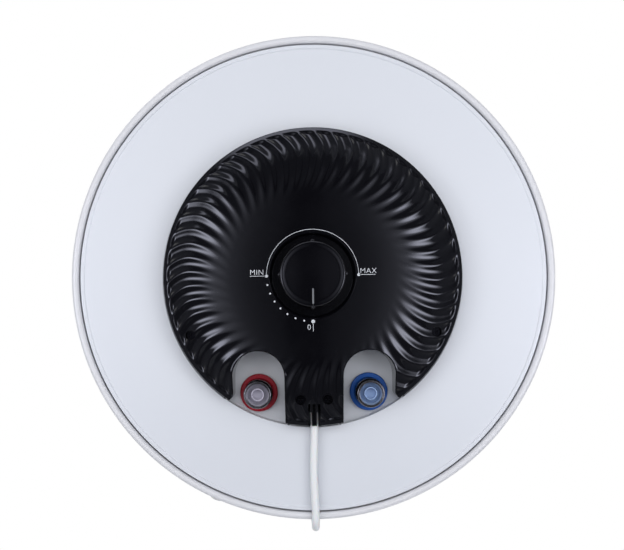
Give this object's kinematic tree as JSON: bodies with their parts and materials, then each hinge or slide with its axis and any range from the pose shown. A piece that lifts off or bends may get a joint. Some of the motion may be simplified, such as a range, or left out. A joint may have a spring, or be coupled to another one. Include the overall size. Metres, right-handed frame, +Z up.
{
  "type": "tank water heater",
  "caption": "Round wall-hung storage water heater with a fluted black service cover, turning thermostat knob, colour-coded pipe stubs and a mains lead underneath.",
  "frame": {"origin": "on the wall plane, midway between the two hanging slots of the upper bracket", "axes": "+Z up along the tank, +Y towards the wall, +X to the right of someone who faces the heater"},
  "size_m": [0.44, 0.4699, 0.6184],
  "materials": {
    "jacket_enamel": "satin",
    "cap_enamel": "satin",
    "foam": "matte",
    "tank_enamel": "satin",
    "bare_steel": "satin",
    "zinc_steel": "satin",
    "gasket_rubber": "matte",
    "magnesium": "matte",
    "ivory_plastic": "satin",
    "copper": "satin",
    "red_plastic": "gloss",
    "blue_plastic": "gloss",
    "brass": "satin",
    "black_plastic": "satin",
    "white_plastic": "satin",
    "pale_blue_plastic": "satin",
    "black_gloss": "gloss",
    "black_steel": "satin",
    "grey_inlay": "satin",
    "white_pvc": "satin",
    "nickel_brass": "satin"
  },
  "bodies": {
    "heater": {"outer_jacket": "jacket_enamel", "bottom_cap": "cap_enamel", "top_cap": "cap_enamel", "foam_insulation": "foam", "inner_tank": "tank_enamel", "tank_flange": "bare_steel", "flange_gasket": "gasket_rubber", "flange_plate": "zinc_steel", "flange_nuts": "zinc_steel", "heating_element": "bare_steel", "anode_rod": "magnesium", "thermowell": "bare_steel", "thermostat_body": "ivory_plastic", "thermostat_rod": "copper", "terminal_block": "ivory_plastic", "earth_stud": "brass", "cord_clamp": "black_plastic", "hot_nipple": "zinc_steel", "cold_nipple": "zinc_steel", "hot_liner": "white_plastic", "cold_liner": "pale_blue_plastic", "hot_collar": "red_plastic", "cold_collar": "blue_plastic", "hot_outlet_tube": "bare_steel", "cold_diffuser": "white_plastic", "service_cover": "black_gloss", "cover_posts": "white_plastic", "cover_screws": "black_steel", "wall_bracket": "zinc_steel", "lower_stays": "zinc_steel", "cord_gland": "black_gloss", "power_cord": "white_pvc", "cord_coil": "white_pvc", "cord_tie": "black_plastic", "plug_body": "white_pvc", "plug_pins": "nickel_brass"},
    "knob": {"thermostat_knob": "black_gloss", "knob_pointer": "grey_inlay", "thermostat_shaft": "zinc_steel"},
    "reset": {"reset_button": "red_plastic"}
  },
  "joints": [
    {"name": "knob_turn", "type": "hinge", "parent": "heater", "child": "knob", "pos_m": [0, -0.25, -0.46], "axis": [0, 0, 1], "range_deg": [0, 270]},
    {"name": "reset_press", "type": "slide", "parent": "heater", "child": "reset", "axis": [0, 0, 1], "range_m": [0, 0.002], "stiffness_N_per_m": 500}
  ]
}
